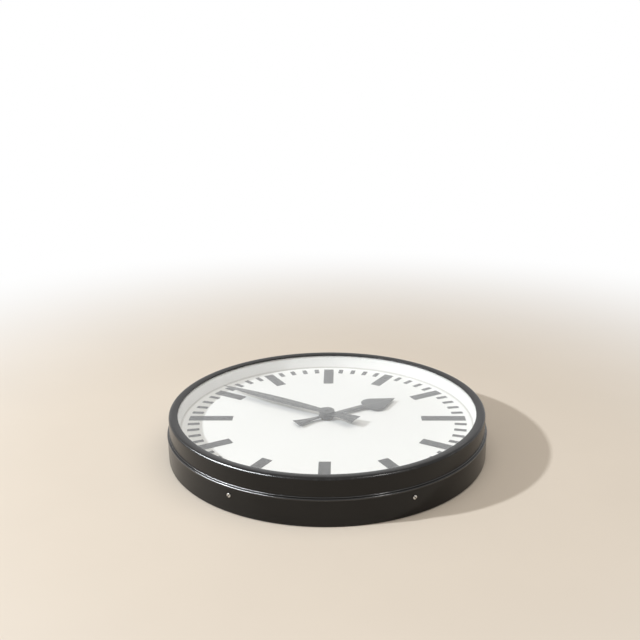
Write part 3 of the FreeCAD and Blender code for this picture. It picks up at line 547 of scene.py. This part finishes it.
def makeFrontRing():
    s = ringShape
    bend = (s["outer"] - s["corner"], s["crown"] - s["corner"])
    lipTop = s["crown"] - s["fall"]
    lip = (s["sight"] + s["lipRound"], lipTop - s["lipDrop"])
    section = [(s["outer"], s["foot"]), (s["outer"], s["beadHeight"] - s["bead"] - s["flatBelow"])]
    section += arcPoints((s["outer"], s["beadHeight"]), s["bead"], -90, 90, 15)
    flats = (s["beadHeight"] + s["bead"] + s["flatAbove"], bend[1] - s["flatAbove"])
    section += [(s["outer"], flat) for flat in flats]
    section += arcPoints(bend, s["corner"], 0, 90, 14)
    rounded = arcPoints(lip, s["lipRound"], 105, 180, 6)
    across, down = bend[0] - rounded[0][0], s["crown"] - rounded[0][1]
    for step in range(1, s["crownSteps"]):  # the crown falls to the lip in one even curve
        part = step / s["crownSteps"]
        section.append((bend[0] - across * part, s["crown"] - down * part ** 2))
    section += rounded
    section += [(s["sight"], lipTop - s["sheet"]), (bend[0], s["crown"] - s["sheet"])]
    section += arcPoints(bend, s["corner"] - s["sheet"], 90, 0, 8)
    section += [(s["inner"], s["foot"])]
    shape = turnSection([(r * mm, z * mm) for r, z in section], s["steps"], True)
    piece = linkPiece("frontRing", meshFrom(shape, "frontRing"), finishes["case_paint"])
    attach(piece, "case")
    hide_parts("front_ring")
    print("front ring:", len(piece.data.polygons), "faces")
    return piece


frontRing = makeFrontRing()


# side screws: one slotted head, set round the case with its slot left at any angle

screwSet = {
    "count": 6, "seatRadius": 316.5, "height": 35.1, "first": -0.9, "seed": 36,
    "headRadius": 4.0, "headHeight": 2.4, "headRound": 1.5, "headEdge": 0.25, "topRadius": 1.2, "topDip": 0.02,
    "shankRadius": 2.0, "shankLength": 9.6, "tipEdge": 0.4,
    # the last entry is how far above the seat, in mm, the painted shade round the screws reaches
    "slotWidth": 1.5, "slotDepth": 1.7, "slotLength": 12.0, "steps": 36, "shadeHeight": 0.7,
}


def makeScrew():
    s = screwSet
    low, rim = -s["shankLength"], s["headHeight"] - s["headRound"]
    section = [(0.0, low), (s["shankRadius"] - s["tipEdge"], low)]
    section += [(s["shankRadius"], low + s["tipEdge"]), (s["shankRadius"], 0.0)]
    section += [(s["headRadius"] - s["headEdge"], 0.0), (s["headRadius"], s["headEdge"])]
    section += arcPoints((s["headRadius"] - s["headRound"], rim), s["headRound"], 0, 80, 8)
    section += [(s["topRadius"], s["headHeight"] - s["topDip"]), (0.0, s["headHeight"])]
    shape = turnSection([(r * mm, z * mm) for r, z in section], s["steps"], False)
    bmesh.ops.dissolve_degenerate(shape, dist=doubleDistance, edges=shape.edges)
    screw = linkPiece("screwForm", meshFrom(shape, "screwForm"))
    cutter = bmesh.new()
    bmesh.ops.create_cube(cutter, size=1.0)
    slotSize = (s["slotWidth"] * mm, s["slotLength"] * mm, s["slotDepth"] * 2 * mm)
    bmesh.ops.scale(cutter, vec=slotSize, verts=cutter.verts)
    bmesh.ops.translate(cutter, vec=(0, 0, s["headHeight"] * mm), verts=cutter.verts)
    slot = linkPiece("slotForm", meshFrom(cutter, "slotForm"))
    cut = screw.modifiers.new("cutSlot", "BOOLEAN")
    cut.object = slot
    cut.solver = "EXACT"
    mesh = bpy.data.meshes.new_from_object(screw.evaluated_get(bpy.context.evaluated_depsgraph_get()))
    mesh.transform(Matrix.Rotation(math.radians(90), 4, "Y"))  # the head faces +x
    mesh.set_sharp_from_angle(angle=creaseAngle)
    screw.modifiers.clear()
    screw.data = mesh
    bpy.data.objects.remove(slot)
    return screw


def buildScrewsAround():
    tree, given, result = newGrower("screwsAround", {
        "Screw": "Object", "Count": "Int", "Seat Radius": "Float", "Height": "Float",
        "First Angle": "Float", "Turn Seed": "Int", "Finish": "Material"})
    step = sums(tree, "DIVIDE", 2 * math.pi, given["Count"])
    index = addNode(tree, "GeometryNodeInputIndex").outputs["Index"]
    turn = sums(tree, "ADD", sums(tree, "MULTIPLY", index, step), given["First Angle"])
    place = addNode(tree, "ShaderNodeCombineXYZ", inputs={
        "X": sums(tree, "MULTIPLY", sums(tree, "COSINE", turn), given["Seat Radius"]),
        "Y": sums(tree, "MULTIPLY", sums(tree, "SINE", turn), given["Seat Radius"]), "Z": given["Height"]})
    points = addNode(tree, "GeometryNodePoints", inputs={"Count": given["Count"], "Position": place.outputs[0]})
    spin = addNode(tree, "FunctionNodeRandomValue", {"data_type": "FLOAT"})
    spin.inputs[2].default_value, spin.inputs[3].default_value = 0.0, math.pi
    tree.links.new(given["Turn Seed"], spin.inputs["Seed"])
    facing = addNode(tree, "ShaderNodeCombineXYZ", inputs={"X": spin.outputs[1], "Z": turn})
    form = addNode(tree, "GeometryNodeObjectInfo", inputs={"Object": given["Screw"]})
    copies = addNode(tree, "GeometryNodeInstanceOnPoints", inputs={
        "Points": points.outputs[0], "Instance": form.outputs["Geometry"], "Rotation": facing.outputs[0]})
    finishGrower(tree, given, result, copies.outputs["Instances"])
    return tree


def makeSideScrews():
    screw = makeScrew()
    piece = growPiece("sideScrews", buildScrewsAround(), {
        "Screw": screw, "Count": screwSet["count"], "Seat Radius": screwSet["seatRadius"] * mm,
        "Height": screwSet["height"] * mm, "First Angle": math.radians(screwSet["first"]),
        "Turn Seed": screwSet["seed"],
        "Finish": makeMetal("nickelScrew", screwSet["seatRadius"] + screwSet["shadeHeight"])})
    bpy.data.objects.remove(screw)
    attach(piece, "case")
    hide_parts("side_screws")
    print("side screws:", len(piece.data.polygons), "faces")


makeSideScrews()


# printed bars and ticks: sixty places, long at the quarters, shorter at the hours, ticks between

markSet = {
    "places": 60, "quarterEvery": 15.0, "hourEvery": 5.0,
    "outer": 278.0, "height": 54.3, "depth": 0.3, "corner": 0.7,
    "quarterLength": 88.0, "hourLength": 70.0, "barWidth": 22.0, "tickLength": 23.5, "tickWidth": 10.0,
    "edgeRound": 0.09, "edgeSegments": 2,
}


def buildDialMarks():
    tree, given, result = newGrower("dialMarks", {
        "Outer Radius": "Float", "Height": "Float", "Depth": "Float", "Corner": "Float",
        "Quarter Length": "Float", "Hour Length": "Float", "Bar Width": "Float",
        "Tick Length": "Float", "Tick Width": "Float", "Finish": "Material"})

    def makeMark(width, length):
        outline = addNode(tree, "GeometryNodeCurvePrimitiveQuadrilateral", inputs={
            "Width": width, "Height": length})
        middle = sums(tree, "SUBTRACT", given["Outer Radius"], sums(tree, "MULTIPLY", length, 0.5))
        out = addNode(tree, "ShaderNodeCombineXYZ", inputs={"Y": middle})
        moved = addNode(tree, "GeometryNodeTransform", inputs={
            "Geometry": outline.outputs["Curve"], "Translation": out.outputs[0]})
        eased = addNode(tree, "GeometryNodeFilletCurve", inputs={
            "Curve": moved.outputs["Geometry"], "Radius": given["Corner"]})
        filled = addNode(tree, "GeometryNodeFillCurve", inputs={"Curve": eased.outputs["Curve"]})
        raised = addNode(tree, "GeometryNodeExtrudeMesh", inputs={
            "Mesh": filled.outputs["Mesh"], "Offset Scale": given["Depth"], "Individual": False})
        base = addNode(tree, "GeometryNodeFlipFaces", inputs={"Mesh": filled.outputs["Mesh"]})
        both = addNode(tree, "GeometryNodeJoinGeometry")
        tree.links.new(raised.outputs["Mesh"], both.inputs[0])
        tree.links.new(base.outputs["Mesh"], both.inputs[0])
        return addNode(tree, "GeometryNodeMergeByDistance", inputs={
            "Geometry": both.outputs[0], "Distance": weldDistance}).outputs["Geometry"]

    index = addNode(tree, "GeometryNodeInputIndex").outputs["Index"]
    turn = sums(tree, "MULTIPLY", index, -2 * math.pi / markSet["places"])
    facing = addNode(tree, "ShaderNodeCombineXYZ", inputs={"Z": turn})
    seat = addNode(tree, "ShaderNodeCombineXYZ", inputs={"Z": given["Height"]})
    points = addNode(tree, "GeometryNodePoints", inputs={
        "Count": markSet["places"], "Position": seat.outputs[0]})
    pastQuarter = sums(tree, "MODULO", index, markSet["quarterEvery"])
    pastHour = sums(tree, "MODULO", index, markSet["hourEvery"])
    onQuarter = sums(tree, "LESS_THAN", pastQuarter, 0.5)
    onHour = sums(tree, "SUBTRACT", sums(tree, "LESS_THAN", pastHour, 0.5), onQuarter)
    between = sums(tree, "GREATER_THAN", pastHour, 0.5)
    allMarks = addNode(tree, "GeometryNodeJoinGeometry")
    for chosen, width, length in (
            (onQuarter, "Bar Width", "Quarter Length"), (onHour, "Bar Width", "Hour Length"),
            (between, "Tick Width", "Tick Length")):
        copies = addNode(tree, "GeometryNodeInstanceOnPoints", inputs={
            "Points": points.outputs[0], "Selection": chosen, "Rotation": facing.outputs[0],
            "Instance": makeMark(given[width], given[length])})
        tree.links.new(copies.outputs["Instances"], allMarks.inputs[0])
    finishGrower(tree, given, result, allMarks.outputs[0])
    return tree


def makeDialMarks():
    inputs = {
        "Outer Radius": "outer", "Height": "height", "Depth": "depth", "Corner": "corner",
        "Quarter Length": "quarterLength", "Hour Length": "hourLength", "Bar Width": "barWidth",
        "Tick Length": "tickLength", "Tick Width": "tickWidth"}
    values = {label: markSet[key] * mm for label, key in inputs.items()}
    piece = growPiece("dialMarks", buildDialMarks(), {**values, "Finish": finishes["mark_black"]})
    edge = piece.modifiers.new("edgeRound", "BEVEL")
    edge.width = markSet["edgeRound"] * mm
    edge.segments = markSet["edgeSegments"]
    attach(piece, "case")
    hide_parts("hour_markers", "minute_markers")
    print("dial marks:", len(piece.data.polygons), "faces")


makeDialMarks()


# camera, from the photograph's viewing angle

cameraPlace = {
    "position": (0.03407, -1.51342, 0.73028), "heading": math.radians(1.719),
    "pitch": math.radians(17.103), "roll": math.radians(0.681), "lens": 45.90, "sensor": 36.0, "near": 0.02,
}


def addCamera():
    data = bpy.data.cameras.new("photoCamera")
    data.lens = cameraPlace["lens"]
    data.sensor_width = cameraPlace["sensor"]
    data.clip_start = cameraPlace["near"]
    camera = bpy.data.objects.new("photoCamera", data)
    heading, pitch, roll = (cameraPlace[key] for key in ("heading", "pitch", "roll"))
    ahead = Vector((-math.sin(heading) * math.cos(pitch), math.cos(heading) * math.cos(pitch), -math.sin(pitch)))
    levelRight = Vector((math.cos(heading), math.sin(heading), 0))
    levelUp = levelRight.cross(ahead)
    up = levelUp * math.cos(roll) + levelRight * math.sin(roll)
    right = levelRight * math.cos(roll) - levelUp * math.sin(roll)
    turn = Matrix((right, up, -ahead)).transposed()
    camera.matrix_world = Matrix.Translation(cameraPlace["position"]) @ turn.to_4x4()
    bpy.context.scene.collection.objects.link(camera)
    bpy.context.scene.camera = camera


addCamera()


# plain pale floor that goes to white far from the clock

floorPlan = {
    "half": 9.0, "drop": 0.0002, "colour": (0.70, 0.62, 0.53), "mottle": 0.97, "mottleScale": 3.0,
    "roughness": 0.8, "fadeFrom": 0.5, "fadeTo": 1.9,
}


# rays that see the white surroundings: the camera's, and those by way of gloss or glass
def seenRays(tree):
    path = addNode(tree, "ShaderNodeLightPath").outputs
    seen = sums(tree, "MAXIMUM", path["Is Camera Ray"], path["Is Glossy Ray"])
    seen = sums(tree, "MAXIMUM", seen, path["Is Transmission Ray"])
    return sums(tree, "MULTIPLY", seen, sums(tree, "LESS_THAN", path["Diffuse Depth"], 0.5))


def addFloor():
    half, drop = floorPlan["half"], floorPlan["drop"]
    mesh = bpy.data.meshes.new("floor")
    corners = [(-half, -half, -drop), (half, -half, -drop), (half, half, -drop), (-half, half, -drop)]
    mesh.from_pydata(corners, [], [(0, 1, 2, 3)])
    mat, tree, shader = newMaterial("paleFloor")
    coords = objectCoords(tree)
    low = tuple(value * floorPlan["mottle"] for value in floorPlan["colour"])
    mottle = noiseAt(tree, coords, floorPlan["mottleScale"], 4.0)
    colour = addRamp(tree, mottle, [(0.3, low), (0.7, floorPlan["colour"])])
    tree.links.new(colour, shader.inputs["Base Color"])
    shader.inputs["Roughness"].default_value = floorPlan["roughness"]
    far = addNode(tree, "ShaderNodeVectorMath", {"operation": "LENGTH"}, {0: coords}).outputs["Value"]
    fade = addNode(tree, "ShaderNodeMapRange", {"interpolation_type": "SMOOTHSTEP"}, {
        "Value": far, "From Min": floorPlan["fadeFrom"], "From Max": floorPlan["fadeTo"]}).outputs["Result"]
    glow = addNode(tree, "ShaderNodeEmission", inputs={"Color": (1, 1, 1, 1), "Strength": 1.0})
    shown = sums(tree, "MULTIPLY", fade, seenRays(tree))
    mix = addNode(tree, "ShaderNodeMixShader", inputs={
        "Fac": shown, 1: shader.outputs["BSDF"], 2: glow.outputs["Emission"]})
    tree.links.new(mix.outputs["Shader"], tree.nodes["Material Output"].inputs["Surface"])
    linkPiece("floor", mesh, mat)


# one lamp from the left for the shadows, a wide soft one above, and an even glow all round
lightPlan = {
    "key": {"from": (-3.8, -1.04, 2.66), "size": (0.2, 0.2), "power": 190.0, "colour": (0.93, 0.97, 1.0)},
    "ceiling": {"from": (0.7, -0.5, 3.2), "size": (4.5, 4.5), "power": 66.0, "colour": (1.0, 0.955, 0.885)},
    "worldLight": 0.252, "worldColour": (1.0, 0.97, 0.92),
}
# strips that only the gloss of the painted case takes, for the lights along its beads
stripPlan = {
    "leftStrip": {"from": (-3.4, -1.4, 2.0), "size": (4.8, 1.0), "power": 1000.0, "colour": (0.93, 0.96, 1.0)},
    "rightStrip": {"from": (1.7, -2.0, 2.2), "size": (0.5, 0.9), "power": 40.0, "colour": (1.0, 0.98, 0.95)},
    "nodes": ["rear_case"],
}


def addLight(name, plan):
    data = bpy.data.lights.new(name + "Light", "AREA")
    data.shape = "ELLIPSE"
    data.size, data.size_y = plan["size"]
    data.energy = plan["power"]
    data.color = plan["colour"]
    lamp = bpy.data.objects.new(name + "Light", data)
    lamp.location = plan["from"]
    lamp.rotation_euler = (-Vector(plan["from"])).to_track_quat("-Z", "Y").to_euler()
    bpy.context.scene.collection.objects.link(lamp)
    return lamp


def addStrips(pieces):
    painted = bpy.data.collections.new("paintedCase")
    for piece in pieces + [nodes[name] for name in stripPlan["nodes"]]:
        painted.objects.link(piece)
    for name in ("leftStrip", "rightStrip"):
        lamp = addLight(name, stripPlan[name])
        lamp.visible_diffuse = False
        lamp.light_linking.receiver_collection = painted


def addWorld():
    world = bpy.data.worlds.new("softGlow")
    world.use_nodes = True
    bpy.context.scene.world = world
    tree = world.node_tree
    tree.nodes.clear()
    glow = addNode(tree, "ShaderNodeBackground", inputs={
        "Color": (*lightPlan["worldColour"], 1), "Strength": lightPlan["worldLight"]})
    white = addNode(tree, "ShaderNodeBackground", inputs={"Color": (1, 1, 1, 1), "Strength": 1.0})
    mix = addNode(tree, "ShaderNodeMixShader", inputs={
        "Fac": seenRays(tree), 1: glow.outputs["Background"], 2: white.outputs["Background"]})
    out = addNode(tree, "ShaderNodeOutputWorld")
    tree.links.new(mix.outputs["Shader"], out.inputs["Surface"])


addFloor()
addLight("key", lightPlan["key"])
ceiling = addLight("ceiling", lightPlan["ceiling"])
ceiling.visible_glossy = ceiling.visible_transmission = False  # no disc of it in the glass
addStrips([frontRing])
addWorld()
bpy.context.scene.view_settings.view_transform = "Standard"
print("stage set")
